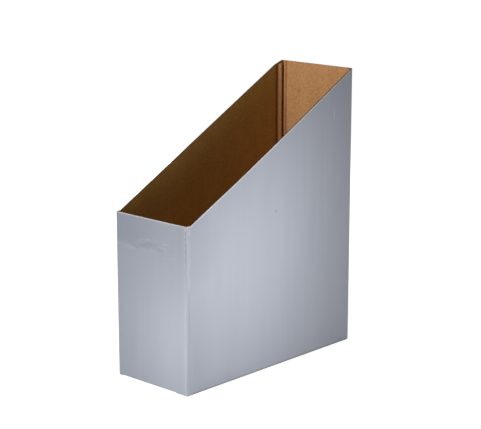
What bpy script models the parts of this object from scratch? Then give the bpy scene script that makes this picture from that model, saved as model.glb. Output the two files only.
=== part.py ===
"""Magazine file folded from one blank of corrugated board, erected and standing on its base.

Every panel of the blank is three plies of paper, and each ply is an object of its own: an outer liner
with the silver face, a wavy fluting medium, and an inner liner of brown kraft. The panels hang together
at creases. Each panel has an empty on its crease, so that turning the empty folds the panel.

+Z is up, the low front is at -Y, the tall back at +Y, and the right side at +X. Lengths are in metres,
and the origin is the centre of the footprint.
"""
import math

import bmesh
import bpy
from mathutils import Matrix, Vector

# Outside of the erected file
WIDTH = 0.100
DEPTH = 0.250
BACK_HEIGHT = 0.300
FRONT_HEIGHT = 0.172

# Die-cut outline of the side panels
LIP_LENGTH = 0.006          # level start of the top edge, behind the front crease
EASED_RUN = 0.012           # eased rear corner of the left side's free edge
EASED_RISE = 0.004

# Flaps
GLUE_FLAP_WIDTH = 0.0105
GLUE_FLAP_SETBACK = 0.001   # below the top edge of the left side
GLUE_FLAP_TAPER = 0.006     # cut back at the lower end of its free edge
TUCK_HEIGHT = 0.030
DUST_FLAP_LENGTH = 0.045
DUST_FLAP_RELIEF = 0.015    # kept free at the corner that folds shut
SHOULDER = 0.003            # straight start of a flap's side, before its 45 degree taper

# Board
LINER = 0.0003
MEDIUM = 0.0002
CORE = 0.0010               # room between the liners
FLUTE_PITCH = 0.0032

# Clearances
GLUE_LINE = 0.00003         # between plies that are glued together
FOLD_GAP = 0.00015          # between panels that meet at a crease
FLAP_CLEARANCE = 0.0015     # beside a flap that swings past a panel
BASE_INSET = 0.0004         # base panel's cut ends behind the front and back faces

BOARD = CORE + 2 * LINER

RIGHT = WIDTH / 2
LEFT = -WIDTH / 2
FRONT = -DEPTH / 2
BACK = DEPTH / 2
WALL_FOOT = BOARD + FOLD_GAP             # front and back stand on the base panel
DUST_TOP = WALL_FOOT + BOARD             # upper face of the dust flaps
FLAP_FACE = LEFT + 2 * BOARD             # inner face of the glue flap
TUCK_FACE = FLAP_FACE + FOLD_GAP         # inner face of the tuck flap
TUCK_TOP = BOARD + TUCK_HEIGHT

# Top edges of the side panels, as (y, z) points from front to back
RIGHT_TOP = [(FRONT, FRONT_HEIGHT), (FRONT + LIP_LENGTH, FRONT_HEIGHT), (BACK, BACK_HEIGHT)]
LEFT_TOP = RIGHT_TOP[:2] + [(BACK - EASED_RUN, BACK_HEIGHT - EASED_RISE), (BACK, BACK_HEIGHT)]

X, Y, Z = Vector((1, 0, 0)), Vector((0, 1, 0)), Vector((0, 0, 1))


def clear_scene():
    for item in list(bpy.data.objects):
        bpy.data.objects.remove(item, do_unlink=True)


def make_collection(name):
    collection = bpy.data.collections.new(name)
    bpy.context.scene.collection.children.link(collection)
    return collection


def make_material(name, colour, roughness, metallic):
    material = bpy.data.materials.new(name)
    material.use_nodes = True
    shader = material.node_tree.nodes["Principled BSDF"]
    shader.inputs["Base Color"].default_value = (*colour, 1.0)
    shader.inputs["Roughness"].default_value = roughness
    shader.inputs["Metallic"].default_value = metallic
    material.diffuse_color = (*colour, 1.0)
    return material


def height_on(line, place):
    """Height of a line of (place, height) points at one place along it."""
    for (start, low), (end, high) in zip(line, line[1:]):
        if start <= place <= end:
            return low + (high - low) * (place - start) / (end - start)
    return line[0][1] if place < line[0][0] else line[-1][1]


def part_of_line(line, start, end):
    """The points of a line between two places along it, with both ends."""
    between = [point for point in line if start < point[0] < end]
    return [(start, height_on(line, start))] + between + [(end, height_on(line, end))]


class Panel:
    """One panel of the blank, with its empty on the crease that it folds about.

    The empty's X axis runs across the flutes and its Y axis along them. Its Z axis runs from the silver
    face to the kraft face, and outer_face is where the silver face lies on it.
    """

    def __init__(self, name, pivot, across, along, outer_face, parent=None):
        self.name = name
        self.pivot = pivot
        self.across = across
        self.along = along
        self.outer_face = outer_face
        inward = across.cross(along)
        turn = Matrix((across, along, inward)).transposed().to_4x4()
        self.frame = Matrix.Translation(pivot) @ turn
        self.empty = bpy.data.objects.new(name + "_crease", None)
        self.empty.empty_display_size = 0.02
        PARTS.objects.link(self.empty)
        if parent:
            self.empty.parent = parent.empty
            self.empty.matrix_parent_inverse = parent.frame.inverted()
        self.empty.matrix_basis = self.frame

    def flatten(self, points):
        """Points of the erected file, as flat coordinates on the panel."""
        offsets = [Vector(point) - self.pivot for point in points]
        return [(offset.dot(self.across), offset.dot(self.along)) for offset in offsets]

    def add(self, ply, data, depth, material):
        piece = bpy.data.objects.new(f"{self.name}_{ply}", data)
        piece.parent = self.empty
        piece.location.z = self.outer_face + depth
        piece.data.materials.append(material)
        PARTS.objects.link(piece)
        return piece

    def add_liner(self, ply, points, depth, material):
        """A flat sheet of paper: a filled outline, extruded to both sides of its middle."""
        curve = bpy.data.curves.new(f"{self.name}_{ply}", "CURVE")
        curve.dimensions = "2D"
        curve.fill_mode = "BOTH"
        curve.extrude = LINER / 2
        outline = curve.splines.new("POLY")
        flat = self.flatten(points)
        outline.points.add(len(flat) - 1)
        for target, (across, along) in zip(outline.points, flat):
            target.co = (across, along, 0, 1)
        outline.use_cyclic_u = True
        self.add(ply, curve, depth, material)

    def add_fluting(self, low_points, high_points):
        """The wavy medium: a zigzag of edges, drawn out along the flutes and thickened.

        low_points and high_points are the lines where the flutes start and end.
        """
        low_line = sorted(self.flatten(low_points))
        high_line = sorted(self.flatten(high_points))
        start = high_line[0][0] + MEDIUM / 2
        end = high_line[-1][0] - MEDIUM / 2
        count = max(2, round((end - start) / (FLUTE_PITCH / 2)))
        steepest = math.hypot(1, CORE / (FLUTE_PITCH / 2))
        swing = CORE / 2 - GLUE_LINE - MEDIUM / 2 * steepest
        shape = bmesh.new()
        line = []
        for index in range(count + 1):
            place = start + (end - start) * index / count
            side = swing if index % 2 else -swing
            line.append(shape.verts.new((place, height_on(low_line, place), side)))
        edges = [shape.edges.new(pair) for pair in zip(line, line[1:])]
        drawn = bmesh.ops.extrude_edge_only(shape, edges=edges)["geom"]
        for corner in drawn:
            if isinstance(corner, bmesh.types.BMVert):
                corner.co.y = height_on(high_line, corner.co.x)
        mesh = bpy.data.meshes.new(f"{self.name}_fluting")
        shape.to_mesh(mesh)
        shape.free()
        piece = self.add("fluting", mesh, BOARD / 2, FLUTING)
        paper = piece.modifiers.new("Paper", "SOLIDIFY")
        paper.thickness = MEDIUM
        paper.offset = 0
        paper.use_even_offset = True

    def add_plies(self, outer_outline, low_points, high_points):
        """Outer liner to the outline of the silver face, fluting and inner liner to that of the kraft face."""
        self.add_liner("outer_liner", outer_outline, LINER / 2, SILVER)
        self.add_fluting(low_points, high_points)
        self.add_liner("inner_liner", low_points + high_points[::-1], BOARD - LINER / 2, KRAFT)


def side_wall_points(x, line, start, end):
    return [(x, y, z) for y, z in part_of_line(line, start, end)]


def rectangle_on_x(y, low_x, high_x, low_z, high_z):
    return [(low_x, y, low_z), (high_x, y, low_z), (high_x, y, high_z), (low_x, y, high_z)]


def build_right_side():
    """The panel that stays put while the others fold."""
    panel = Panel("right_side", Vector((RIGHT, 0, 0)), -Y, Z, 0)
    silver_end = BACK - LINER - FOLD_GAP
    kraft_start = FRONT + BOARD + FOLD_GAP
    kraft_end = BACK - BOARD - FOLD_GAP
    outer = [(RIGHT, silver_end, 0), (RIGHT, FRONT, 0)]
    outer += side_wall_points(RIGHT, RIGHT_TOP, FRONT, silver_end)
    low = [(RIGHT, kraft_start, WALL_FOOT), (RIGHT, kraft_end, WALL_FOOT)]
    high = side_wall_points(RIGHT, RIGHT_TOP, kraft_start, kraft_end)
    panel.add_plies(outer, low, high)
    return panel


def build_front(right_side):
    """Folds shut on the right side, so its crease is at the inner faces."""
    pivot = Vector((RIGHT - BOARD, FRONT + BOARD, WALL_FOOT))
    panel = Panel("front", pivot, -X, Z, -BOARD, right_side)
    reach = LINER + FOLD_GAP
    outer = rectangle_on_x(FRONT, LEFT + reach, RIGHT - reach, WALL_FOOT, FRONT_HEIGHT)
    low_x = LEFT + BOARD + FOLD_GAP
    high_x = RIGHT - BOARD - FOLD_GAP
    kraft_foot = DUST_TOP + FOLD_GAP
    low = [(low_x, FRONT, kraft_foot), (high_x, FRONT, kraft_foot)]
    high = [(low_x, FRONT, FRONT_HEIGHT), (high_x, FRONT, FRONT_HEIGHT)]
    panel.add_plies(outer, low, high)
    return panel


def build_back(right_side):
    """Opens out in line with the right side, so its crease is at the outer faces."""
    pivot = Vector((RIGHT, BACK, WALL_FOOT))
    panel = Panel("back", pivot, X, Z, 0, right_side)
    outer = rectangle_on_x(BACK, LEFT + BOARD + FOLD_GAP, RIGHT, WALL_FOOT, BACK_HEIGHT)
    low_x = FLAP_FACE + FOLD_GAP
    high_x = RIGHT - BOARD - FOLD_GAP
    kraft_foot = DUST_TOP + FOLD_GAP
    low = [(low_x, BACK, kraft_foot), (high_x, BACK, kraft_foot)]
    high = [(low_x, BACK, BACK_HEIGHT), (high_x, BACK, BACK_HEIGHT)]
    panel.add_plies(outer, low, high)
    return panel


def build_left_side(back):
    """Laps outside the glue flap, and turns with it about the flap's crease."""
    pivot = Vector((FLAP_FACE, BACK - BOARD, 0))
    panel = Panel("left_side", pivot, Y, Z, -2 * BOARD, back)
    kraft_start = FRONT + BOARD + FOLD_GAP
    outer = [(LEFT, BACK, 0), (LEFT, FRONT, 0)] + side_wall_points(LEFT, LEFT_TOP, FRONT, BACK)
    low = [(LEFT, kraft_start, 0), (LEFT, BACK, 0)]
    high = side_wall_points(LEFT, LEFT_TOP, kraft_start, BACK)
    panel.add_plies(outer, low, high)
    return panel


def build_glue_flap(left_side):
    """Narrow flap of the back panel, glued to the inside of the left side."""
    panel = Panel("glue_flap", left_side.pivot, Y, Z, GLUE_LINE - BOARD, left_side)
    free_edge = BACK - BOARD - GLUE_FLAP_WIDTH
    top = [(y, z - GLUE_FLAP_SETBACK) for y, z in LEFT_TOP]
    foot = [(free_edge, WALL_FOOT + GLUE_FLAP_TAPER), (BACK - BOARD, WALL_FOOT), (BACK, WALL_FOOT)]
    silver_end = BACK - LINER - FOLD_GAP
    kraft_end = BACK - BOARD - 2 * FOLD_GAP    # the flap stands a glue line proud of its crease
    outer = side_wall_points(LEFT, foot, free_edge, silver_end)
    outer += side_wall_points(LEFT, top, free_edge, silver_end)[::-1]
    low = side_wall_points(LEFT, foot, free_edge, kraft_end)
    high = side_wall_points(LEFT, top, free_edge, kraft_end)
    panel.add_plies(outer, low, high)
    return panel


def build_base(right_side):
    """Hangs on the right side's lower crease, and covers the whole footprint."""
    panel = Panel("base", Vector((RIGHT, 0, 0)), Y, -X, 0, right_side)
    start, end = FRONT + BASE_INSET, BACK - BASE_INSET
    silver_right = RIGHT - LINER - FOLD_GAP
    silver_left = LEFT + BOARD + FOLD_GAP
    kraft_right = RIGHT - BOARD - FOLD_GAP
    kraft_left = TUCK_FACE + FOLD_GAP
    outer = [(silver_right, start, 0), (silver_right, end, 0), (silver_left, end, 0), (silver_left, start, 0)]
    low = [(kraft_right, start, 0), (kraft_right, end, 0)]
    high = [(kraft_left, start, 0), (kraft_left, end, 0)]
    panel.add_plies(outer, low, high)
    return panel


def build_tuck_flap(base):
    """Stands inside the left side and holds the base shut. Its ends taper, to pass the front as it folds."""
    panel = Panel("tuck_flap", Vector((TUCK_FACE, 0, BOARD)), Y, Z, -BOARD, base)
    start = FRONT + BOARD + SHOULDER + FLAP_CLEARANCE
    end = BACK - BOARD - GLUE_FLAP_WIDTH - FLAP_CLEARANCE
    taper = TUCK_HEIGHT - SHOULDER
    shoulder_top = BOARD + SHOULDER
    top = [(start, shoulder_top), (start + taper, TUCK_TOP), (end - taper, TUCK_TOP), (end, shoulder_top)]
    silver_foot = LINER + FOLD_GAP
    kraft_foot = BOARD + FOLD_GAP
    high = [(LEFT, y, z) for y, z in top]
    outer = [(LEFT, end, silver_foot), (LEFT, start, silver_foot)] + high
    low = [(LEFT, start, kraft_foot), (LEFT, end, kraft_foot)]
    panel.add_plies(outer, low, high)
    return panel


def build_dust_flap(name, wall, side):
    """Folds in from the foot of the front (side 1) or back (side -1), over the base.

    The corner beside it that folds shut is at the right for the front flap and at the left for the back
    flap. There the flap is relieved and tapered, so that it can fold up between the closing walls.
    """
    wall_y = side * FRONT
    crease_y = wall_y + side * BOARD
    across = side * X
    panel = Panel(name, Vector((0, crease_y, DUST_TOP)), across, side * Y, -BOARD, wall)
    if side > 0:
        closing = RIGHT - BOARD - DUST_FLAP_RELIEF
        opposite = TUCK_FACE + FLAP_CLEARANCE
    else:
        closing = FLAP_FACE + DUST_FLAP_RELIEF
        opposite = RIGHT - BOARD - FLAP_CLEARANCE
    taper = DUST_FLAP_LENGTH - SHOULDER
    shoulder_y = crease_y + side * SHOULDER
    tip_y = crease_y + side * DUST_FLAP_LENGTH
    silver_y = wall_y + side * (LINER + FOLD_GAP)
    kraft_y = crease_y + side * FOLD_GAP
    high = [(opposite, tip_y, 0), (closing - side * taper, tip_y, 0), (closing, shoulder_y, 0)]
    outer = [(closing, silver_y, 0), (opposite, silver_y, 0)] + high
    low = [(opposite, kraft_y, 0), (closing, kraft_y, 0)]
    panel.add_plies(outer, low, high)
    return panel


clear_scene()
PARTS = make_collection("magazine_file")
SILVER = make_material("silver_paper", (0.40, 0.43, 0.48), 0.42, 0.6)
FLUTING = make_material("fluting_paper", (0.30, 0.19, 0.10), 0.85, 0.0)
KRAFT = make_material("kraft_paper", (0.39, 0.21, 0.09), 0.80, 0.0)

right_panel = build_right_side()
front_panel = build_front(right_panel)
back_panel = build_back(right_panel)
left_panel = build_left_side(back_panel)
build_glue_flap(left_panel)
base_panel = build_base(right_panel)
build_tuck_flap(base_panel)
build_dust_flap("front_dust_flap", front_panel, 1)
build_dust_flap("back_dust_flap", back_panel, -1)
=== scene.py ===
# %% [markdown]
# # A magazine file of folded corrugated board
# The file is one blank of thin corrugated board, printed silver outside and left brown inside. It is scored,
# folded round a base and glued at one corner. Here it is dressed for its portrait. The measured solids come
# first, as a fixed frame, so that every sheet of paper drawn below can take its place from them.

# %% Load the measured solids
import math

import bpy
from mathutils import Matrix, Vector


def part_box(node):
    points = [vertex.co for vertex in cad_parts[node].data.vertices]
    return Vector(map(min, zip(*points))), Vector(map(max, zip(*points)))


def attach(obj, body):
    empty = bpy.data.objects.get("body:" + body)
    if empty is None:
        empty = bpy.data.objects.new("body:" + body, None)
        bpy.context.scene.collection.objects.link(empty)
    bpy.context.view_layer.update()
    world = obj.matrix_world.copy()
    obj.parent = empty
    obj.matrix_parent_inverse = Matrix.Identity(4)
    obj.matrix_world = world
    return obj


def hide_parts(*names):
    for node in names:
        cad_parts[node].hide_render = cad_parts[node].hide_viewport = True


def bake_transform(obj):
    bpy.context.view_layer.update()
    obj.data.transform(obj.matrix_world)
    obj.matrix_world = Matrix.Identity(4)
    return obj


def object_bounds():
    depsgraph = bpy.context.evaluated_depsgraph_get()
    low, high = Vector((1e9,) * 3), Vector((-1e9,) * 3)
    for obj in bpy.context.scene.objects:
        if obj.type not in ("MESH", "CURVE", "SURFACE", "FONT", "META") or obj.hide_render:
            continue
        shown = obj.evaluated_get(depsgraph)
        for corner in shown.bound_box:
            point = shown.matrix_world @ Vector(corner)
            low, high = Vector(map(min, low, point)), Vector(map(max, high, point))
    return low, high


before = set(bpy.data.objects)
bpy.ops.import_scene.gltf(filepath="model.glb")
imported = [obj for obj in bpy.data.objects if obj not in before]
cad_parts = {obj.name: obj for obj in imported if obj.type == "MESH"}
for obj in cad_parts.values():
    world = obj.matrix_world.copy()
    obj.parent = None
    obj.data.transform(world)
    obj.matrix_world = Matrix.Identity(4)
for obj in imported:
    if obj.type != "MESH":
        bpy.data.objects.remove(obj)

X, Y, Z = Vector((1, 0, 0)), Vector((0, 1, 0)), Vector((0, 0, 1))
cad_low, cad_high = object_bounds()
LEFT, FRONT, FLOOR = cad_low
RIGHT, BACK, TOP = cad_high
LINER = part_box("front_outer_liner")[1].y - FRONT
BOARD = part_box("front_inner_liner")[1].y - FRONT
WALL_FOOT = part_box("front_outer_liner")[0].z
FRONT_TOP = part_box("front_outer_liner")[1].z
outside = [round(1000 * size, 1) for size in cad_high - cad_low]
print("outside", outside, "board", round(1000 * BOARD, 2), "mm")

# %% [markdown]
# ## The panels of the blank
# Every panel has a direction across its flutes, one along them, and a body that carries it. Its silver face
# points outwards, along the cross product of the two directions, which is also the side that a face drawn in
# that order looks to. Keeping this in one table means that one function can draw any ply of any panel.

# %% Name the panels and their directions
PANELS = {
    "right_side": (Y, Z, "right_side"),
    "front": (X, Z, "front"),
    "back": (-X, Z, "back"),
    "left_side": (-Y, Z, "left_side"),
    "glue_flap": (-Y, Z, "left_side"),
    "base": (Y, X, "base"),
    "tuck_flap": (-Y, Z, "tuck_flap"),
    "front_dust_flap": (-X, Y, "front_dust_flap"),
    "back_dust_flap": (X, -Y, "back_dust_flap"),
}
CREASE = 0.0024          # a fold's own strip of paper reaches this far from the corner
NEAR_CREASE = 0.0050     # and this far at the near corner, whose score is a double line
FOOT = FLOOR + 0.0002    # the silver of the front and back rolls under them, just off the floor
RECESS = 0.0036          # the base's cut ends stand back behind that roll
BEAD = 0.0042            # the raised bead of kraft beside a fold reaches this far
REAR_BEAD = 0.0054       # and this far in the rear corner with the glue flap
SAME_PLACE = 0.00004     # corners of a solid that are closer than this count as one


def spots(node, way):
    """How far each corner of a solid lies along a direction."""
    return [vertex.co.dot(way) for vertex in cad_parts[node].data.vertices]


def outline(node, across, along):
    """The lower and upper edge of a flat solid, as (place across, place along) points in order."""
    edges, places = {}, []
    for place, height in sorted(zip(spots(node, across), spots(node, along))):
        if not places or place - places[-1] > SAME_PLACE:
            places.append(place)
        edges.setdefault(places[-1], []).append(height)
    middle = (max(edges[places[0]]) + min(edges[places[0]])) / 2
    upper = [(place, max(edges[place])) for place in places if max(edges[place]) > middle]
    lower = [(place, min(edges[place])) for place in places if min(edges[place]) < middle]
    return lower, upper


def on_line(line, place):
    """Height of a line of points at one place. Past its ends, the line goes on straight."""
    for (start, low), (end, high) in zip(line, line[1:]):
        if place <= end or (end, high) == line[-1]:
            return low + (high - low) * (place - start) / (end - start)


def clamp(share):
    """Keeps a share between none and all."""
    return min(1.0, max(0.0, share))


print("panels", len(PANELS), "top of the right side", outline("right_side_outer_liner", Y, Z)[1])

# %% [markdown]
# ## Drawing a sheet of paper
# Paper could be a thin box, but a sheet that turns corners is easier to draw as it is folded. A plane is
# stood on the first stretch of a line, and its last edge is extruded from point to point. Its upper edge is
# then slid to the die-cut line. The sheet gets its thickness last, with the cut rim in a finish of its own.

# %% Take up a piece and select its edges


def put_down():
    """Leaves edit mode and deselects everything, because an operator acts on all that is selected."""
    if bpy.context.mode != "OBJECT":
        bpy.ops.object.mode_set(mode="OBJECT")
    bpy.ops.object.select_all(action="DESELECT")


def take_up(piece):
    put_down()
    piece.select_set(True)
    bpy.context.view_layer.objects.active = piece


def select_edges(piece, wanted):
    """Opens a piece in edit mode with the edges selected whose two end points pass a test."""
    take_up(piece)
    bpy.context.tool_settings.mesh_select_mode = (False, True, False)
    mesh = piece.data
    for part in (*mesh.vertices, *mesh.edges, *mesh.polygons):
        part.select = False
    for edge in mesh.edges:
        first, second = (mesh.vertices[index] for index in edge.vertices)
        if wanted(first.co, second.co):
            edge.select = first.select = second.select = True
    bpy.ops.object.mode_set(mode="EDIT")


# %% Draw a sheet along a path
TOUCHING = 1e-7          # points closer than this are one point
PARALLEL = 0.99999       # edges whose directions agree this well run the same way


def divide_rows(sheet, along, cuts):
    """Cuts a sheet into rows, by subdividing the edges that run along it."""
    select_edges(sheet, lambda a, b: abs((b - a).normalized().dot(along)) > PARALLEL)
    bpy.ops.mesh.subdivide(number_cuts=cuts)
    put_down()


def draw_sheet(name, path, along, lower, upper, cuts=0):
    """A sheet that stands on a path of points. lower and upper give its edges for a point of the path."""
    put_down()
    bpy.ops.mesh.primitive_plane_add(size=BOARD)
    sheet = bpy.context.object
    sheet.name = sheet.data.name = name
    foot, head = lower(path[0]), upper(path[0])
    corners = [(path[0], foot), (path[1], foot), (path[0], head), (path[1], head)]
    for vertex, (point, place) in zip(sheet.data.vertices, corners):
        vertex.co = point - along * point.dot(along) + along * place
    free_edge = sheet.data.vertices[1].co.copy(), sheet.data.vertices[3].co.copy()
    select_edges(sheet, lambda a, b: all(min((end - a).length, (end - b).length) < TOUCHING
                                         for end in free_edge))
    for here, there in zip(path[1:], path[2:]):
        step = there - here
        bpy.ops.mesh.extrude_region_move(TRANSFORM_OT_translate={"value": step - along * step.dot(along)})
    put_down()
    middle = (foot + head) / 2
    for vertex in sheet.data.vertices:
        place = vertex.co.dot(along)
        goal = upper(vertex.co) if place > middle else lower(vertex.co)
        vertex.co += along * (goal - place)
    if cuts:
        divide_rows(sheet, along, cuts)
    return sheet


# %% Thicken a sheet
SMOOTH_ANGLE = math.radians(40)      # a sharper turn than this shows as an edge


def apply_modifier(piece, kind, **settings):
    take_up(piece)
    modifier = piece.modifiers.new(kind.title(), kind)
    for setting, value in settings.items():
        setattr(modifier, setting, value)
    bpy.ops.object.modifier_apply(modifier=modifier.name)


def thicken(sheet, thickness, finishes, offset=-1, even=True):
    """Gives paper its thickness, and its finishes: first the face, then the cut rim, and last the back."""
    sheet.data.materials.clear()
    for finish in finishes:
        sheet.data.materials.append(finish)
    apply_modifier(sheet, "SOLIDIFY", thickness=thickness, offset=offset, use_even_offset=even,
                   material_offset=len(finishes) - 1, material_offset_rim=1)
    take_up(sheet)
    bpy.ops.object.shade_smooth_by_angle(angle=SMOOTH_ANGLE)


def evenly(start, end, spacing):
    count = max(1, round(abs(end - start) / spacing))
    return [start + (end - start) * step / count for step in range(count + 1)]


# %% [markdown]
# ## Colours and surfaces
# The paper has four finishes. Silver print is a thin metallic coat on a white liner. The kraft liner is brown
# and fibrous, and the fluting is a duller kraft. The white core of the silver liner shows at the cut edges of
# the front and the right side, and the other cut edges are brown. Three effects are shared, so each is a node
# group: the washboard that the flutes press through a liner, the cloudy mottle of paper fibre, and the long
# streaks along the flutes.

# %% Add, link and group shader nodes


def add_node(tree, kind, **settings):
    node = tree.nodes.new(kind)
    for setting, value in settings.items():
        setattr(node, setting, value)
    return node


def join(tree, source, target):
    tree.links.new(source, target)


def new_group(name, inputs, outputs):
    group = bpy.data.node_groups.new(name, "ShaderNodeTree")
    for socket, (kind, value) in inputs.items():
        made = group.interface.new_socket(socket, in_out="INPUT", socket_type=kind)
        if value is not None:
            made.default_value = value
    for socket in outputs:
        group.interface.new_socket(socket, in_out="OUTPUT", socket_type="NodeSocketFloat")
    return group, add_node(group, "NodeGroupInput"), add_node(group, "NodeGroupOutput")


# %% Values and masks


def math_node(tree, operation, *values):
    """A Math node. Each value is a number or a socket to link from."""
    node = add_node(tree, "ShaderNodeMath", operation=operation)
    for socket, value in zip(node.inputs, values):
        if isinstance(value, (int, float)):
            socket.default_value = value
        else:
            join(tree, value, socket)
    return node.outputs["Value"]


def times(tree, first, *others):
    """The product of masks and numbers."""
    for other in others:
        first = math_node(tree, "MULTIPLY", first, other)
    return first


def weighed(tree, *parts):
    """The sum of two values, each with its weight."""
    return math_node(tree, "ADD", *[times(tree, value, weight) for value, weight in parts])


def away_from(tree, value, middle):
    return math_node(tree, "ABSOLUTE", math_node(tree, "SUBTRACT", value, middle))


def remap(tree, value, low, high, to_low=0.0, to_high=1.0, smooth=False):
    node = add_node(tree, "ShaderNodeMapRange", interpolation_type="SMOOTHSTEP" if smooth else "LINEAR")
    join(tree, value, node.inputs["Value"])
    for socket, number in zip(("From Min", "From Max", "To Min", "To Max"), (low, high, to_low, to_high)):
        node.inputs[socket].default_value = number
    return node.outputs["Result"]


def fade_out(tree, value, start, end, strength=1.0):
    """A mask that falls smoothly from its strength to nothing."""
    return remap(tree, value, start, end, strength, 0.0, smooth=True)


def line_mask(tree, value, middle, inner, outer, strength=1.0):
    """A soft line: full within the inner half width, and gone at the outer one."""
    return fade_out(tree, away_from(tree, value, middle), inner, outer, strength)


# %% Noise and colours


def noise_node(tree, vector, scale, detail=3.0, roughness=0.5, distortion=0.0):
    node = add_node(tree, "ShaderNodeTexNoise")
    join(tree, vector, node.inputs["Vector"])
    node.inputs["Scale"].default_value = scale
    node.inputs["Detail"].default_value = detail
    node.inputs["Roughness"].default_value = roughness
    node.inputs["Distortion"].default_value = distortion
    return node.outputs["Fac"]


def drawn_out_noise(tree, vector, grain, detail, roughness=0.5, distortion=0.0):
    """Noise with a grain of its own on each axis, per metre."""
    node = add_node(tree, "ShaderNodeMapping")
    join(tree, vector, node.inputs["Vector"])
    node.inputs["Scale"].default_value = grain
    return noise_node(tree, node.outputs["Vector"], 1.0, detail, roughness, distortion)


def blend_colours(tree, amount, first, second, mode="MIX"):
    node = add_node(tree, "ShaderNodeMix", data_type="RGBA", blend_type=mode)
    for socket, value in ((node.inputs[0], amount), (node.inputs[6], first), (node.inputs[7], second)):
        if isinstance(value, tuple):
            socket.default_value = (*value, 1.0)
        else:
            join(tree, value, socket)
    return node.outputs[2]


# %% The shared effects
FLUTE_PITCH = 0.0032
PATCH_GRAIN = 28.0                               # grains per metre
CLOUDS = ((660.0, 0.60, 0.88), (80.0, 0.5, 0.12))        # grain, roughness, share
FIBRE_GRAINS = ((240, 240, 1500), (1500, 1500, 240))     # lying, and standing
FLECK_GRAIN = 420.0
STREAK_GRAINS = (("Fine", (520, 520, 9), 0.55), ("Broad", (70, 70, 7), 0.5))     # grain, roughness
POSITION = {"Position": ("NodeSocketVector", None)}


def build_washboard():
    """Height of the flutes as they show through a liner, along X and along Y in object space."""
    shares = {"Along X": ("NodeSocketFloat", 1.0), "Along Y": ("NodeSocketFloat", 1.0)}
    group, given, result = new_group("Flute washboard", {**POSITION, **shares}, ("Height",))
    parts = add_node(group, "ShaderNodeSeparateXYZ")
    join(group, given.outputs["Position"], parts.inputs[0])
    waves = []
    for axis in ("X", "Y"):
        wave = math_node(group, "SINE", times(group, parts.outputs[axis], 2 * math.pi / FLUTE_PITCH))
        waves.append(times(group, wave, given.outputs["Along " + axis]))
    patches = noise_node(group, given.outputs["Position"], PATCH_GRAIN, 2.0)
    patches = remap(group, patches, 0.3, 0.7, 0.35, 1.0)
    join(group, times(group, math_node(group, "ADD", *waves), patches), result.inputs["Height"])
    return group


def build_fibre_mottle():
    """Cloudiness of paper, with fine fibres that lie every way."""
    scale = {"Scale": ("NodeSocketFloat", 1.0)}
    group, given, result = new_group("Fibre mottle", {**POSITION, **scale}, ("Cloud", "Fibre", "Fleck"))
    place = add_node(group, "ShaderNodeVectorMath", operation="SCALE")
    join(group, given.outputs["Position"], place.inputs[0])
    join(group, given.outputs["Scale"], place.inputs["Scale"])
    here = place.outputs["Vector"]
    clouds = [(noise_node(group, here, grain, 3.0, roughness), share) for grain, roughness, share in CLOUDS]
    join(group, weighed(group, *clouds), result.inputs["Cloud"])
    crossing = [drawn_out_noise(group, here, grain, 3.0, 0.6, 0.4) for grain in FIBRE_GRAINS]
    join(group, math_node(group, "MAXIMUM", *crossing), result.inputs["Fibre"])
    join(group, remap(group, noise_node(group, here, FLECK_GRAIN, 2.0), 0.66, 0.74), result.inputs["Fleck"])
    return group


def build_long_streaks():
    """Faint upright streaks, as a roller leaves along the flutes."""
    group, given, result = new_group("Long streaks", POSITION, ("Fine", "Broad"))
    for output, grain, roughness in STREAK_GRAINS:
        streak = drawn_out_noise(group, given.outputs["Position"], grain, 3.0, roughness)
        join(group, streak, result.inputs[output])
    return group


WASHBOARD = build_washboard()
MOTTLE = build_fibre_mottle()
STREAKS = build_long_streaks()
print("node groups", WASHBOARD.name, MOTTLE.name, STREAKS.name)

# %% Start a material and place a shared effect in it
WALL_FLUTES = (1.0, 1.0)     # how much the flutes show along X and along Y: on a wall, either way it faces
BASE_FLUTES = (0.0, 1.0)     # on what lies flat: the base and the dust flaps
NO_FLUTES = (0.0, 0.0)
MAP_MIDDLE = 0.5             # a sheet's own map has the middle of the file, or of a fold, at this place


def new_material(name):
    material = bpy.data.materials.new(name)
    material.use_nodes = True
    tree = material.node_tree
    place = add_node(tree, "ShaderNodeTexCoord").outputs["Object"]
    return material, tree, tree.nodes["Principled BSDF"], place


def use_group(tree, group, place, **values):
    node = add_node(tree, "ShaderNodeGroup", node_tree=group)
    join(tree, place, node.inputs["Position"])
    for socket, value in values.items():
        node.inputs[socket.replace("_", " ")].default_value = value
    return node.outputs


def bump(tree, height, distance, strength=1.0, before=None):
    node = add_node(tree, "ShaderNodeBump")
    join(tree, height, node.inputs["Height"])
    node.inputs["Distance"].default_value = distance
    node.inputs["Strength"].default_value = strength
    if before:
        join(tree, before, node.inputs["Normal"])
    return node.outputs["Normal"]


def blank_map(tree):
    """The sheet's own map: the place across the flutes, and the distance below the cut edge, in metres."""
    parts = add_node(tree, "ShaderNodeSeparateXYZ")
    join(tree, add_node(tree, "ShaderNodeUVMap", uv_map="Blank").outputs["UV"], parts.inputs[0])
    return parts.outputs["X"], parts.outputs["Y"]
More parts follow.
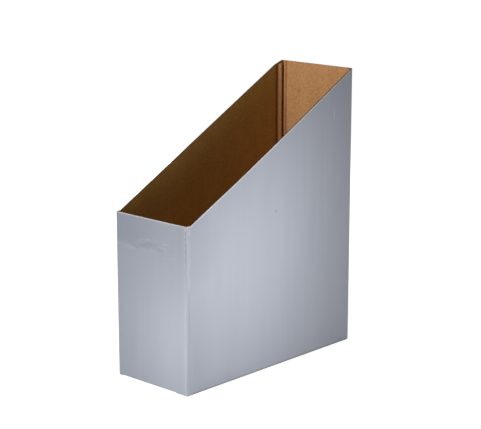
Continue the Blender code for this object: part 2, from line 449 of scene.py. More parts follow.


# %% [markdown]
# ## Silver print
# The outside is printed with a satin aluminium ink, so it is part metal and part paint: it shows soft light
# and dark as metal does, and never a sharp reflection. The ink is a little uneven along the flutes, and it is
# rubbed lighter along a cut edge, where a painted highlight of the edge is added to the rubbing. Each sheet
# marks the edge in its own map as the distance from it.

# %% Wear of the silver print, with painted shade in a fold's scores and a painted highlight on its ridge
CRACKS = ((-0.0017, 0.42), (0.0013, 0.16))       # place beside a fold, and strength
SCORE_SHADES = ((-0.0009, 0.50), (0.0022, 0.45))
HIGHLIGHT_LINE = -0.0021                            # a painted highlight runs along this line on the lower part of a fold
CRACKED_TO = (0.020, 0.075)                      # from the cut edge down: where the cracks fade out,
HIGHLIGHT_FROM = (0.110, 0.128)                     # where the painted highlight starts,
SCORE_SHADE_TO = (0.105, 0.125)                        # and where the painted shade in the scores ends
FLECK_GRAINS = (950, 950, 700)
CRACK_GRAINS = (260, 260, 760)
SCORE_SHADE_GRAINS = (300, 300, 150)


def fold_lines(tree, across, lines, inner, outer):
    """Two soft lines along a fold, from their places beside it and their strengths."""
    masks = [line_mask(tree, across, MAP_MIDDLE + place, inner, outer, strength) for place, strength in lines]
    return math_node(tree, "MAXIMUM", *masks)


def worn_fold(tree, place, mottle, across, below, worn_length):
    """Where a fold's print has cracked to the white: flecks at its upper end. Below, a painted highlight
    along its ridge.
    """
    upper = remap(tree, below, 0.0, worn_length, 1.0, 0.0)
    limit = remap(tree, upper, 0.0, 1.0, 0.74, 0.51)
    grains = drawn_out_noise(tree, place, FLECK_GRAINS, 2.0, 0.6)
    fleck = remap(tree, math_node(tree, "SUBTRACT", grains, limit), 0.0, 0.05)
    fleck = times(tree, fleck, line_mask(tree, across, MAP_MIDDLE, 0.0016, 0.0028))
    dots = remap(tree, drawn_out_noise(tree, place, CRACK_GRAINS, 2.0), 0.36, 0.62)
    cracked = times(tree, fold_lines(tree, across, CRACKS, 0.0002, 0.0008), dots,
                    remap(tree, below, *CRACKED_TO, 1.0, 0.0))
    # a painted highlight along the lower ridge of a fold
    line = remap(tree, away_from(tree, across, MAP_MIDDLE + HIGHLIGHT_LINE), 0.0002, 0.0009, 1.0, 0.0)
    lightened = times(tree, line, remap(tree, below, *HIGHLIGHT_FROM, 0.0, 0.32, smooth=True),
                   remap(tree, mottle["Cloud"], 0.40, 0.58, 0.6, 1.0))
    return math_node(tree, "MAXIMUM", math_node(tree, "MAXIMUM", fleck, cracked), lightened)


def score_shade_lines(tree, place, across, below):
    """Painted shade in the two lines that the score has pressed beside a fold."""
    # the painted shade is patchy along the lines
    worn = remap(tree, drawn_out_noise(tree, place, SCORE_SHADE_GRAINS, 3.0, 0.6), 0.35, 0.6, 0.5, 1.0)
    lines = fold_lines(tree, across, SCORE_SHADES, 0.0001, 0.0006)
    return times(tree, lines, fade_out(tree, below, *SCORE_SHADE_TO), worn)


# %% Marks of handling, and painted shade
RAGGED_GRAINS, RAGGED = (70, 70, 30), 0.016      # the lower border of the band of painted shade, and its range
BAND_DEPTH, BAND_TO = (0.027, 0.034), (0.045, 0.125)     # below the cut edge, it pales here and ends there
BAND_SIDES = (MAP_MIDDLE - 0.030, MAP_MIDDLE + 0.030)    # and it pales from the left to the right
CREASE_GRAINS = (150, 150, 420)
GRIP_FROM, GRIP_TO = (0.017, 0.024), (0.032, 0.043)      # the gripped part, below the cut edge
GRIP_LEFT = (MAP_MIDDLE - 0.038, MAP_MIDDLE - 0.015)
GRIP_RIGHT = (MAP_MIDDLE + 0.025, MAP_MIDDLE + 0.045)


def painted_band_shade(tree, place, across, below):
    """Painted shade over the front's upper left, with a ragged lower border."""
    ragged = times(tree, drawn_out_noise(tree, place, RAGGED_GRAINS, 4.0, 0.6), RAGGED)
    depth = math_node(tree, "ADD", below, math_node(tree, "SUBTRACT", ragged, RAGGED / 2))
    upper = remap(tree, depth, *BAND_DEPTH, 1.0, 0.30, smooth=True)
    leftward = remap(tree, across, *BAND_SIDES, 1.0, 0.15, smooth=True)
    return times(tree, upper, fade_out(tree, below, *BAND_TO), leftward)


def crackled(tree, place, across, below):
    """Fine creases in the print, where a hand has gripped the front."""
    lines = remap(tree, drawn_out_noise(tree, place, CREASE_GRAINS, 2.0, 0.5, 0.8), 0.52, 0.66, smooth=True)
    gripped = times(tree, remap(tree, below, *GRIP_FROM, smooth=True), fade_out(tree, below, *GRIP_TO))
    middle = times(tree, remap(tree, across, *GRIP_LEFT, smooth=True), fade_out(tree, across, *GRIP_RIGHT))
    return times(tree, lines, gripped, middle)


def add_marks_and_shade(tree, place, colour, marks):
    """Scratches and smudges, and patches of painted shade. A mark is its place and half size along and up,
    its strength and its colour.
    """
    parts = add_node(tree, "ShaderNodeSeparateXYZ")
    join(tree, place, parts.inputs[0])
    for (along, up), (half_along, half_up), strength, tint in marks:
        away = []
        for axis, middle, half in (("Y", along, half_along), ("Z", up, half_up)):
            share = math_node(tree, "DIVIDE", math_node(tree, "SUBTRACT", parts.outputs[axis], middle), half)
            away.append(times(tree, share, share))
        near = fade_out(tree, math_node(tree, "ADD", *away), 0.0, 1.0, strength)
        colour = blend_colours(tree, near, colour, tint)
    return colour


# %% Silver print
SILVER_COLOUR = (0.456, 0.490, 0.568)
SILVER_DARK = (0.428, 0.463, 0.540)
FOOT_SHADE_COLOUR = (0.345, 0.368, 0.412)      # painted shade: the fold into the base is darker
FOOT_SHADE_DARK = (0.300, 0.322, 0.365)
# painted shade for a band on the front's upper left
BAND_SHADE_COLOUR = (0.338, 0.374, 0.440)
# dark for a real smudge, and for painted shade in a fold's scores and beside the near fold
DIRT_AND_SHADE_COLOUR = (0.245, 0.270, 0.315)
# light for wear, and for painted highlights along cut edges and a fold's lower ridge
WEAR_AND_HIGHLIGHT_COLOUR = (0.76, 0.75, 0.75)
SILVER_METAL = 0.12
SILVER_GLOSS = 0.30
SATIN = (0.40, 0.50)                     # least and most roughness
PRINT_FIBRE, PRINT_CREASE, PRINT_FLUTE = 0.00003, 0.00012, 0.000022      # heights in the printed surface


def make_silver(name, flutes=WALL_FLUTES, worn_length=0.0, shade_and_creases=0.0, dark=SILVER_DARK, light=SILVER_COLOUR,
                marks=()):
    """Silver ink. worn_length is the cracked upper end of a fold, whose scores then get painted shade and
    whose lower ridge gets a painted highlight. The setting after it says how dark the painted shade on the
    front's upper band is, and also brings in the creases where the front is gripped.
    """
    material, tree, shader, place = new_material(name)
    streaks = use_group(tree, STREAKS, place)
    mottle = use_group(tree, MOTTLE, place)
    board = use_group(tree, WASHBOARD, place, Along_X=flutes[0], Along_Y=flutes[1])
    tone = weighed(tree, (streaks["Broad"], 0.55), (streaks["Fine"], 0.45))
    colour = blend_colours(tree, remap(tree, tone, 0.36, 0.62), dark, light)
    surface = bump(tree, mottle["Fibre"], PRINT_FIBRE, 0.35)
    across, below = blank_map(tree)
    if shade_and_creases:
        # painted shade over the front's upper left
        band_shade_mask = times(tree, shade_and_creases, painted_band_shade(tree, place, across, below))
        colour = blend_colours(tree, band_shade_mask, colour, BAND_SHADE_COLOUR)
        creases = crackled(tree, place, across, below)
        colour = blend_colours(tree, times(tree, creases, 0.10), colour, WEAR_AND_HIGHLIGHT_COLOUR)
        surface = bump(tree, creases, PRINT_CREASE, 1.0, surface)
    colour = add_marks_and_shade(tree, place, colour, marks)
    # rubbed lighter along a cut edge, and brighter there as a painted highlight of the edge
    near_edge = fade_out(tree, below, 0.0002, 0.0016)
    lightened = times(tree, near_edge, remap(tree, mottle["Cloud"], 0.36, 0.56, 0.55, 1.0))
    # a fold's cracks and flecks are wear; its score lines are painted shade and its lower ridge a painted
    # highlight
    if worn_length:
        worn = worn_fold(tree, place, mottle, across, below, worn_length)
        lightened = math_node(tree, "MAXIMUM", lightened, worn)
        colour = blend_colours(tree, score_shade_lines(tree, place, across, below), colour, DIRT_AND_SHADE_COLOUR)
    join(tree, blend_colours(tree, lightened, colour, WEAR_AND_HIGHLIGHT_COLOUR), shader.inputs["Base Color"])
    unlightened = math_node(tree, "SUBTRACT", 1.0, lightened)
    join(tree, times(tree, SILVER_METAL, unlightened), shader.inputs["Metallic"])
    join(tree, remap(tree, streaks["Fine"], 0.3, 0.7, *SATIN), shader.inputs["Roughness"])
    shader.inputs["Specular IOR Level"].default_value = SILVER_GLOSS
    join(tree, bump(tree, board["Height"], PRINT_FLUTE, 1.0, surface), shader.inputs["Normal"])
    return material


# a scratch rubbed light, a dark smudge, and a broad patch of painted shade beside the near fold
MARKS_AND_SHADE = (((0.0945, 0.2545), (0.0012, 0.0095), 0.45, WEAR_AND_HIGHLIGHT_COLOUR),
         ((0.0024, 0.1660), (0.0032, 0.0026), 0.35, DIRT_AND_SHADE_COLOUR),
         ((-0.1180, 0.1500), (0.0450, 0.0500), 0.20, DIRT_AND_SHADE_COLOUR))
SILVER = make_silver("silver_print")
# the front's silver carries a band of painted shade on its upper left
SILVER_FRONT = make_silver("silver_print_front", shade_and_creases=0.85)
SILVER_RIGHT = make_silver("silver_print_right", marks=MARKS_AND_SHADE)
SILVER_BASE = make_silver("silver_print_base", BASE_FLUTES)
# the folds: wear, with painted shade in the scores and a painted highlight on the lower ridge
SILVER_WORN_PAINTED_LIGHT = make_silver("silver_print_worn_fold_painted_light", NO_FLUTES, worn_length=0.030)
SILVER_FOLD_PAINTED_LIGHT = make_silver("silver_print_fold_painted_light", NO_FLUTES, worn_length=0.008)
SILVER_FOOT_SHADE = make_silver("silver_print_foot_shade", NO_FLUTES, dark=FOOT_SHADE_DARK, light=FOOT_SHADE_COLOUR)
print("silver", SILVER.name, SILVER_FRONT.name, SILVER_WORN_PAINTED_LIGHT.name, SILVER_FOLD_PAINTED_LIGHT.name, SILVER_FOOT_SHADE.name)

# %% [markdown]
# ## Brown kraft, fluting and white core
# Unbleached paper is never one colour: it is cloudy, with darker flecks and lighter fibres, and quite matt.
# The same recipe makes the liner, the duller fluting and the brown cut edges, with other colours. The cut
# edges of the front's and the right side's kraft are painted almost black, as painted shade of the deep
# flutes behind them. The left side's kraft is the same paper, painted darker and more olive as painted shade,
# and the dark lines along the glue flap's grooves are painted shade too.

# %% Kraft papers and the white core
KRAFT_COLOURS = ((0.400, 0.196, 0.076), (0.530, 0.292, 0.130), (0.640, 0.400, 0.210))    # dark, light, fibre
# the left side's kraft: the same paper, painted darker and more olive as painted shade
LEFT_SHADE_COLOURS = ((0.330, 0.180, 0.043), (0.490, 0.306, 0.089), (0.590, 0.400, 0.145))
FLUTING_COLOURS = ((0.17, 0.088, 0.040), (0.27, 0.150, 0.072), (0.36, 0.22, 0.12))
EDGE_COLOURS = ((0.080, 0.039, 0.018), (0.135, 0.069, 0.033), (0.20, 0.115, 0.06))
# near black on the front's and right side's kraft cut edges: painted shade of the deep flutes behind them
EDGE_SHADE_COLOURS = ((0.024, 0.012, 0.006), (0.046, 0.023, 0.012), (0.07, 0.04, 0.02))
# dark brown painted along the glue flap's grooves as painted shade
GROOVE_SHADE_COLOUR = (0.170, 0.066, 0.018)
CORE_DARK, CORE_LIGHT = (0.62, 0.57, 0.53), (0.82, 0.79, 0.77)
KRAFT_GLOSS = 0.10
FIBRE_HEIGHT, FLUTE_HEIGHT, CORE_HEIGHT = 0.00006, 0.00003, 0.00004     # in the paper's surface


def make_kraft(name, colours=KRAFT_COLOURS, flutes=WALL_FLUTES, groove_shades=()):
    """Brown paper. The lines given last are painted shade along pressed grooves: place across, half width and
    strength.
    """
    dark, light, fibre = colours
    material, tree, shader, place = new_material(name)
    mottle = use_group(tree, MOTTLE, place)
    streaks = use_group(tree, STREAKS, place)
    board = use_group(tree, WASHBOARD, place, Along_X=flutes[0], Along_Y=flutes[1])
    cloud = weighed(tree, (mottle["Cloud"], 0.86), (streaks["Broad"], 0.14))
    colour = blend_colours(tree, remap(tree, cloud, 0.39, 0.60), dark, light)
    colour = blend_colours(tree, remap(tree, mottle["Fibre"], 0.60, 0.76, 0.0, 0.45), colour, fibre)
    colour = blend_colours(tree, times(tree, mottle["Fleck"], 0.30), colour, dark, "MULTIPLY")
    # painted shade along each groove
    for middle, half_width, strength in groove_shades:
        pressed = line_mask(tree, blank_map(tree)[0], middle, 0.3 * half_width, half_width, strength)
        colour = blend_colours(tree, pressed, colour, GROOVE_SHADE_COLOUR)
    join(tree, colour, shader.inputs["Base Color"])
    join(tree, remap(tree, mottle["Cloud"], 0.3, 0.7, 0.72, 0.86), shader.inputs["Roughness"])
    shader.inputs["Specular IOR Level"].default_value = KRAFT_GLOSS
    fine = bump(tree, mottle["Fibre"], FIBRE_HEIGHT, 0.5)
    join(tree, bump(tree, board["Height"], FLUTE_HEIGHT, 1.0, fine), shader.inputs["Normal"])
    return material


def make_core():
    material, tree, shader, place = new_material("white_core")
    mottle = use_group(tree, MOTTLE, place, Scale=2.0)
    colour = blend_colours(tree, remap(tree, mottle["Cloud"], 0.35, 0.65), CORE_DARK, CORE_LIGHT)
    join(tree, colour, shader.inputs["Base Color"])
    join(tree, remap(tree, mottle["Fibre"], 0.3, 0.7, 0.75, 0.9), shader.inputs["Roughness"])
    join(tree, bump(tree, mottle["Fibre"], CORE_HEIGHT, 0.5), shader.inputs["Normal"])
    return material


KRAFT = make_kraft("kraft_liner")
KRAFT_LEFT_SHADE = make_kraft("kraft_liner_left_shade", LEFT_SHADE_COLOURS)
KRAFT_BASE = make_kraft("kraft_liner_base", flutes=BASE_FLUTES)
FLUTING = make_kraft("fluting_kraft", FLUTING_COLOURS, NO_FLUTES)
KRAFT_EDGE = make_kraft("kraft_cut_edge", EDGE_COLOURS, NO_FLUTES)
KRAFT_SHADED_EDGE = make_kraft("kraft_edge_painted_shade", EDGE_SHADE_COLOURS, NO_FLUTES)
CORE = make_core()
print("papers", KRAFT.name, FLUTING.name, CORE.name)

# %% [markdown]
# ## Liners and fluting of a panel
# A liner is a flat sheet with the outline of its solid, so the outline is read from the frame and drawn
# again with enough columns for the paper to curve. A flute is drawn once as a smooth wave and repeated with
# an Array, which is quicker than drawing eighty of them. Each sheet also gets a map of the blank, in metres:
# along the sheet, and down from its cut edge.

# %% Map a sheet, and hang it on its panel


def map_blank(sheet, across, along, upper):
    """A map in metres: U is the place across the flutes, V the distance below the upper edge."""
    layer = sheet.data.uv_layers.active or sheet.data.uv_layers.new(name="Blank")
    layer.name = "Blank"
    for loop in sheet.data.loops:
        place = sheet.data.vertices[loop.vertex_index].co
        below = upper(place) - place.dot(along)
        layer.data[loop.index].uv = (MAP_MIDDLE + place.dot(across), below)


def hang(piece, body, slot, *nodes):
    """Hangs a piece on the panel that carries it, and hides the solids that it stands for. The paper that it
    is (slot) is not used.
    """
    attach(piece, body)
    if nodes:
        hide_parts(*nodes)


def ply_edges(node, across, along, start, end):
    """A ply's lower and upper line, and where it starts and ends: at its own ends, if none is given."""
    lower_line, upper_line = outline(node, across, along)
    start = upper_line[0][0] if start is None else start
    end = upper_line[-1][0] if end is None else end
    return lower_line, upper_line, start, end


# %% Draw a liner
LINER_AXES = {"base": (X, -Y)}   # the base's liners are drawn the other way, so both ends can be notched
COLUMN = 0.012                   # width of a sheet's columns, where it needs no finer ones
SILVER_FACES = {"front": SILVER_FRONT, "right_side": SILVER_RIGHT, "base": SILVER_BASE,
                "front_dust_flap": SILVER_BASE, "back_dust_flap": SILVER_BASE}
KRAFT_FACES = {"left_side": KRAFT_LEFT_SHADE, "base": KRAFT_BASE, "front_dust_flap": KRAFT_BASE,
               "back_dust_flap": KRAFT_BASE}
SHOWN = ("front", "right_side")  # the panels whose cut edges show white core, and kraft painted near black as painted shade


def draw_liner(panel, ply, start=None, end=None, foot=None, head=None, stops=(), spacing=COLUMN, rows=0):
    """One liner of a panel, between two places across the flutes, facing out (silver) or in (kraft).

    foot and head replace the solid's own edges where a fold takes over, and stops are extra columns.
    """
    across, along, body = PANELS[panel]
    across, along = LINER_AXES.get(panel, (across, along))
    outward = across.cross(along)
    node = f"{panel}_{ply}_liner"
    lower_line, upper_line, start, end = ply_edges(node, across, along, start, end)
    columns = [place for place, _ in upper_line] + list(stops)
    corners = sorted(place for place in columns if start < place < end)
    places = [start]
    for here, there in zip([start] + corners, corners + [end]):
        places += evenly(here, there, spacing)[1:]
    depths = spots(node, outward)
    if ply == "inner":
        places.reverse()
    face = max(depths) if ply == "outer" else min(depths)
    path = [across * place + outward * face for place in places]

    def lower(point):
        return foot(point) if foot else on_line(lower_line, point.dot(across))

    def upper(point):
        return head(point) if head else on_line(upper_line, point.dot(across))

    name = f"{panel}_{'silver' if ply == 'outer' else 'kraft'}"
    sheet = draw_sheet(name, path, along, lower, upper, rows)
    map_blank(sheet, across, along, upper)
    if ply == "outer":
        finishes = SILVER_FACES.get(panel, SILVER), CORE if panel in SHOWN else KRAFT_EDGE, FLUTING
    else:
        finishes = KRAFT_FACES.get(panel, KRAFT), KRAFT_SHADED_EDGE if panel in SHOWN else KRAFT_EDGE
    thicken(sheet, LINER, finishes)
    hang(sheet, body, "silver_paper" if ply == "outer" else "kraft_paper", node)
    return sheet


# %% Draw a panel's flutes
MEDIUM = 0.0002          # thickness of the wavy paper
WAVE_STEPS = 8
WELD = 0.00002           # neighbouring flutes are joined within this


def draw_flutes(panel, start=None, end=None, sunk=0.0):
    """The wavy medium between the liners: one flute, repeated, then cut to the outline or just below it."""
    across, along, body = PANELS[panel]
    outward = across.cross(along)
    node = f"{panel}_fluting"
    lower_line, upper_line, start, end = ply_edges(node, across, along, start, end)
    depths = spots(node, outward)
    middle = (max(depths) + min(depths)) / 2
    swing = (max(depths) - min(depths) - MEDIUM) / 2
    count = round((end - start) / FLUTE_PITCH)
    pitch = (end - start) / count
    path = []
    for step in range(WAVE_STEPS + 1):
        turn = 2 * math.pi * step / WAVE_STEPS
        place = start + pitch * step / WAVE_STEPS
        path.append(across * place + outward * (middle - swing * math.cos(turn)))
    foot, head = lower_line[0][1], upper_line[0][1]
    flutes = draw_sheet(f"{panel}_flutes", path, along, lambda point: foot, lambda point: head)
    apply_modifier(flutes, "ARRAY", count=count, use_relative_offset=False, use_constant_offset=True,
                   constant_offset_displace=across * pitch, use_merge_vertices=True, merge_threshold=WELD)
    for vertex in flutes.data.vertices:
        place = vertex.co.dot(across)
        upper = vertex.co.dot(along) > (foot + head) / 2
        goal = on_line(upper_line, place) - sunk if upper else on_line(lower_line, place)
        vertex.co += along * (goal - vertex.co.dot(along))
    thicken(flutes, MEDIUM, (FLUTING, FLUTING), offset=0)
    hang(flutes, body, "fluting_paper", node)
    return flutes


# %% [markdown]
# ## The walls
# The four walls carry the picture. Each outer liner stops a little short of its corners, where a strip of
# its own makes the fold. The silver of the left side runs on round the front corner, whose fold hangs on that
# side.

# %% Draw the walls
STEP = 0.00002           # a sheet's edge jumps from one height to another within this
FLAP_X = {name: [box.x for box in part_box(f"{name}_dust_flap_outer_liner")] for name in ("front", "back")}
FLAP_ROOM = 0.0006       # the back's dust flap clears the kraft fold beside it when the file is folded
FLAP_X["back"][1] = RIGHT - BOARD - BEAD - FLAP_ROOM
flap_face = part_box("glue_flap_inner_liner")[1].x
GLUE_FOLD = 0.0008       # the fold into the glue flap is tight


def above_flap(name):
    """The wall's face ends above the rounded fold of its dust flap, and at its cut edge beside it."""
    low, high = FLAP_X[name]
    return lambda point: FOOT + (CREASE if low <= point.x <= high else 0)


def flap_stops(name, across):
    sides = [place * across for place in FLAP_X[name]]
    return [place + jump for place in sides for jump in (-STEP, STEP)]


pieces = {}
BOW_GRID = {"spacing": 0.010, "rows": 11}            # columns and rows of a sheet that will bow
CRINKLE_GRID = {"spacing": 0.0009, "rows": 180}      # and of one that will crinkle
FRONT_GRID = {"spacing": 0.006, "rows": 23}
SUNK = 0.0020            # the cut fluting lies a little below the liners' edges
FLAP_SUNK = 0.0004       # and almost level with them on the left side and its glue flap
pieces["right_silver"] = draw_liner("right_side", "outer", FRONT + NEAR_CREASE, BACK - CREASE,
                                    lambda point: FLOOR + CREASE, **BOW_GRID)
pieces["right_flutes"] = draw_flutes("right_side", sunk=SUNK)
pieces["right_kraft"] = draw_liner("right_side", "inner", FRONT + BOARD + BEAD, BACK - BOARD - BEAD,
                                   **BOW_GRID)
pieces["front_silver"] = draw_liner("front", "outer", LEFT + BOARD, RIGHT - NEAR_CREASE, above_flap("front"),
                                    stops=flap_stops("front", 1), **CRINKLE_GRID)
pieces["front_flutes"] = draw_flutes("front", sunk=SUNK)
pieces["front_kraft"] = draw_liner("front", "inner", LEFT + BOARD + BEAD, RIGHT - BOARD - BEAD,
                                   **FRONT_GRID)
pieces["back_silver"] = draw_liner("back", "outer", -(RIGHT - CREASE), -(LEFT + BOARD + GLUE_FOLD),
                                   above_flap("back"), stops=flap_stops("back", -1))
pieces["back_flutes"] = draw_flutes("back", sunk=SUNK)
pieces["back_kraft"] = draw_liner("back", "inner", -(RIGHT - BOARD - BEAD), -(flap_face + REAR_BEAD))
pieces["left_flutes"] = draw_flutes("left_side", sunk=FLAP_SUNK)
pieces["left_kraft"] = draw_liner("left_side", "inner", -BACK, -(FRONT + BOARD + BEAD))
print("wall plies", len(pieces))

# %% The left side's silver, round the front corner
upper_left = outline("left_side_outer_liner", -Y, Z)[1]
ROUND_STEPS = 10


def rounded(corner, arriving, leaving, radius, steps):
    """Points of a quarter round between two straight runs that meet at a corner."""
    centre = corner - arriving * radius + leaving * radius
    turns = [math.pi / 2 * step / steps for step in range(steps + 1)]
    return [centre - leaving * radius * math.cos(turn) + arriving * radius * math.sin(turn) for turn in turns]


def left_top(point):
    return on_line(upper_left, -max(FRONT, point.y))


corners = [-place for place, _ in upper_left]
left_path = [Vector((LEFT, BACK, 0))]
for here, there in zip(corners, corners[1:-1]):
    left_path += [Vector((LEFT, y, 0)) for y in evenly(here, there, COLUMN)[1:]]
left_path += rounded(Vector((LEFT, FRONT, 0)), -Y, X, BOARD, ROUND_STEPS)
left_silver = draw_sheet("left_side_silver", left_path, Z, lambda point: FLOOR, left_top)
map_blank(left_silver, -Y, Z, left_top)
thicken(left_silver, LINER, (SILVER, KRAFT_EDGE, FLUTING))
hang(left_silver, "left_side", "silver_paper", "left_side_outer_liner")
pieces["left_silver"] = left_silver
print("left side", len(left_silver.data.polygons), "faces")

# %% [markdown]
# ## The flaps and the base
# These are flat, and mostly out of sight: the base's ends lie behind the rolled feet of the front and the
# back, and the flaps come into view when the file is folded. They are drawn with the same two functions. A
# liner stops short of its fold here too.

# %% Draw the flaps and the base
TIGHT = 0.0009           # reach of a tight fold
NOTCH_ROOM = 0.0003      # a notch in the base is this much wider than the fold that it clears
GLUE_SETBACK = 0.0012    # the glue flap's silver stops this short of its free edge
base_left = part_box("base_outer_liner")[0].x
glue_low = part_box("glue_flap_outer_liner")[0]
glue_top = outline("glue_flap_outer_liner", -Y, Z)[1]


def base_recess(name, place):
    """How far the base ends behind a wall's face: clear of its rolled fold, or just behind its silver."""
    low, high = FLAP_X[name]
    return RECESS if low - NOTCH_ROOM <= place <= high + NOTCH_ROOM else LINER + NOTCH_ROOM


notches = []
for low, high in FLAP_X.values():
    notches += [low - NOTCH_ROOM, high + NOTCH_ROOM]
BASE_ENDS = {
    "foot": lambda point: -(BACK - base_recess("back", point.x)),
    "head": lambda point: -(FRONT + base_recess("front", point.x)),
    "stops": [place + jump for place in notches for jump in (-STEP, STEP)],
}
SILVER_EDGES = {
    "glue_flap": {"start": -(BACK - GLUE_FOLD), "end": -(glue_low.y + GLUE_SETBACK),
                  "head": lambda point: on_line(glue_top, -point.y) - FLAP_SUNK},
    "base": {"start": base_left + TIGHT, "end": RIGHT - CREASE, **BASE_ENDS},
    "tuck_flap": {"foot": lambda point: FLOOR + TIGHT},
    "front_dust_flap": {"foot": lambda point: FRONT + RECESS},
    "back_dust_flap": {"end": FLAP_X["back"][1], "foot": lambda point: -(BACK - RECESS)},
}
for panel, edges in SILVER_EDGES.items():
    ends = {side: edges[side] for side in ("start", "end") if side in edges}
    inner = BASE_ENDS if panel == "base" else ends
    if panel == "base":
        ends = {"start": FRONT + RECESS, "end": BACK - RECESS}
    pieces[panel + "_silver"] = draw_liner(panel, "outer", **edges)
    pieces[panel + "_flutes"] = draw_flutes(panel, sunk=FLAP_SUNK if panel == "glue_flap" else 0.0, **ends)
    if panel != "glue_flap":
        pieces[panel + "_kraft"] = draw_liner(panel, "inner", **inner)
print("plies in all", len(pieces))

# %% [markdown]
# ## Folds in the silver liner
# Along a score the board is crushed and the liner turns the corner on a small radius. Each fold is a strip of
# its own, drawn round the corner. The fold at the near corner is the one that the eye meets first: a double
# line runs down it, where the score left a shallow groove, and its upper end is worn.

# %% Shape a fold
FOLD_RADIUS = 0.0018
LEAD_STEP = 0.0004                           # width of the columns in a fold's straight leads
LEAD_FADE = 0.0008                           # grooves and beads fade out this near the end of a fold
GROOVE_START, GROOVE_RISE = 0.050, 0.020     # the near groove starts at this height, and is full this far up
CRUMPLED_START, CRUMPLED_RISE = 0.135, 0.037     # and likewise its crumpled upper end
SCORES = ((-0.0019, 0.00070, -0.00042), (0.0026, 0.00070, -0.00032), (-0.0034, 0.00070, 0.00016),
          (0.0004, 0.00090, 0.00012))        # place from the corner, half width, height
WANDER = ((0.00012, 90, 0), (0.00008, 231, 1))   # the groove isn't quite straight: width, rate and start
RIPPLE = 0.45                                # and its crumpled end is this much higher and lower
near_corner = Vector((RIGHT, FRONT, 0))


def draw_fold(name, turn, along, lower, upper, reach, radius, rows):
    """A strip of liner that turns a corner, with straight leads on both sides of its round."""
    corner, arriving, leaving = turn
    leads = evenly(reach, radius, LEAD_STEP)[:-1] if reach > radius else []
    path = [corner - arriving * lead for lead in leads]
    path += rounded(corner, arriving, leaving, radius, ROUND_STEPS)
    path += [corner + leaving * lead for lead in reversed(leads)]
    strip = draw_sheet(name, path, along, lower, upper, rows)
    middle = (arriving + leaving).normalized()
    map_blank(strip, middle, along, upper)
    for loop in strip.data.uv_layers["Blank"].data:
        loop.uv.x -= corner.dot(middle)
    return strip


def near_groove(place, height):
    """How far the near fold stands out from its round, from the place across it and its height."""
    present = clamp((height - GROOVE_START) / GROOVE_RISE)
    wander = sum(width * math.sin(rate * height + start) for width, rate, start in WANDER)
    ripple = RIPPLE * math.sin(2100 * height) * math.sin(1290 * height + 0.6)
    crumpled = 1 + ripple * max(0.0, (height - CRUMPLED_START) / CRUMPLED_RISE)
    rises = [rise * math.exp(-((place - wander - middle) / width) ** 2) for middle, width, rise in SCORES]
    return present * crumpled * sum(rises)


def press_groove(strip):
    """Presses the groove into the near fold, square to its round."""
    for vertex in strip.data.vertices:
        place = (vertex.co - near_corner).dot(X + Y)
        turned = clamp(0.5 + place / (2 * FOLD_RADIUS))
        outward = (X * turned - Y * (1 - turned)).normalized()
        fade = clamp((NEAR_CREASE - abs(place)) / LEAD_FADE)
        vertex.co += outward * (near_groove(place, vertex.co.z) * fade)


def tie(strip, panels, turn):
    """Bakes a strip's place into its mesh. The two panels that it joins are not used."""
    first, second = panels
    corner, arriving, leaving = turn
    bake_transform(strip)


# %% Draw the folds outside
CORNER_FOOT = FLOOR + 0.0010     # an upright fold meets the base's fold here
NEAR_ROWS, FAR_ROWS = 110, 20    # the crumpled near fold needs the most rows
right_top = outline("right_side_outer_liner", Y, Z)[1]
far_corner = Vector((RIGHT, BACK, 0))
glue_corner = Vector((glue_low.x, BACK, 0))
base_corner = Vector((RIGHT, 0, FLOOR))
tuck_corner = Vector((base_left, 0, FLOOR))


def near_foot(point):
    return FOOT + (CORNER_FOOT - FOOT) * clamp((point.y - FRONT) / NEAR_CREASE)


def far_foot(point):
    return CORNER_FOOT + (FOOT - CORNER_FOOT) * clamp((RIGHT - point.x) / CREASE)


FOLDS = {
    "front_fold": ((near_corner, X, Y), Z, near_foot, lambda point: on_line(right_top, max(FRONT, point.y)),
                   (NEAR_CREASE, FOLD_RADIUS, NEAR_ROWS), ("front", "right_side")),
    "back_fold": ((far_corner, Y, -X), Z, far_foot, lambda point: on_line(right_top, point.y),
                  (CREASE, FOLD_RADIUS, FAR_ROWS), ("right_side", "back")),
    "glue_fold": ((glue_corner, -X, -Y), Z, lambda point: WALL_FOOT,
                  lambda point: on_line(glue_top, -point.y),
                  (GLUE_FOLD, GLUE_FOLD, 0), ("back", "left_side")),
    "base_fold": ((base_corner, -Z, -X), Y, lambda point: FRONT + NEAR_CREASE, lambda point: BACK - CREASE,
                  (CREASE, FOLD_RADIUS, 0), ("right_side", "base")),
    "tuck_fold": ((tuck_corner, -X, Z), Y, lambda point: FRONT + LINER + NOTCH_ROOM,
                  lambda point: BACK - LINER - NOTCH_ROOM, (TIGHT, TIGHT, 0), ("base", "tuck_flap")),
}        # the corner with its two directions, the direction along, both ends, (reach, radius, rows), panels
FOLD_FACES = {"front_fold": SILVER_WORN_PAINTED_LIGHT, "base_fold": SILVER_FOOT_SHADE}
for name, (turn, along, lower, upper, (reach, radius, rows), panels) in FOLDS.items():
    strip = draw_fold(name, turn, along, lower, upper, reach, radius, rows)
    if name == "front_fold":
        press_groove(strip)
    rim = CORE if name == "front_fold" else KRAFT_EDGE
    thicken(strip, LINER, (FOLD_FACES.get(name, SILVER_FOLD_PAINTED_LIGHT), rim, FLUTING))
    tie(strip, panels, turn)
    pieces[name] = strip
print("folds outside", len(FOLDS))

